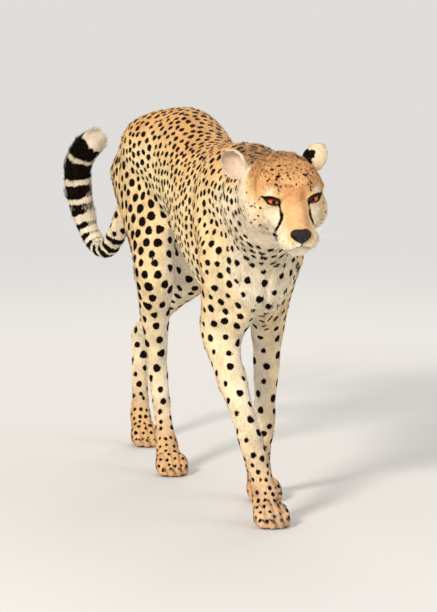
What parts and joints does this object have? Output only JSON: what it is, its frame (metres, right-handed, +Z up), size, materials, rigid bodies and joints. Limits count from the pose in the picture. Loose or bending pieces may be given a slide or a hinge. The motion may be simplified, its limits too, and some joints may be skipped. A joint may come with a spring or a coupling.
{
  "type": "cheetah figure",
  "caption": "Life-size still figure of a walking spotted cat with a small head, long legs and a hooked ringed tail; it stands on its paws.",
  "frame": {"origin": "on the floor, under the middle of the bounding box", "axes": "the animal faces -Y, its left side is +X, and +Z is up"},
  "size_m": [0.2602, 1.4892, 0.744],
  "materials": {
    "coat": "short golden fur with dark spots, white underneath",
    "pale_coat": "short pale fur on the paws and ears",
    "eye": "moist amber eye with a round pupil",
    "nose_leather": "bare dark skin, finely pebbled",
    "claw": "dark horn"
  },
  "bodies": {
    "root": {"trunk": "coat", "neck": "coat", "head": "coat", "eye_right": "eye", "eye_left": "eye", "ear_right": "pale_coat", "ear_left": "pale_coat", "nose": "nose_leather", "foreleg_right_upper": "coat", "foreleg_right_lower": "coat", "forepaw_right": "pale_coat", "foreleg_left_upper": "coat", "foreleg_left_lower": "coat", "forepaw_left": "pale_coat", "hindleg_right_upper": "coat", "hindleg_right_lower": "coat", "hindpaw_right": "pale_coat", "hindleg_left_upper": "coat", "hindleg_left_lower": "coat", "hindpaw_left": "pale_coat", "tail_base": "coat", "tail_middle": "coat", "tail_tip": "coat", "foreclaw_right_1": "claw", "foreclaw_right_2": "claw", "foreclaw_right_3": "claw", "foreclaw_right_4": "claw", "foreclaw_left_1": "claw", "foreclaw_left_2": "claw", "foreclaw_left_3": "claw", "foreclaw_left_4": "claw", "hindclaw_right_1": "claw", "hindclaw_right_2": "claw", "hindclaw_right_3": "claw", "hindclaw_right_4": "claw", "hindclaw_left_1": "claw", "hindclaw_left_2": "claw", "hindclaw_left_3": "claw", "hindclaw_left_4": "claw"}
  },
  "joints": []
}
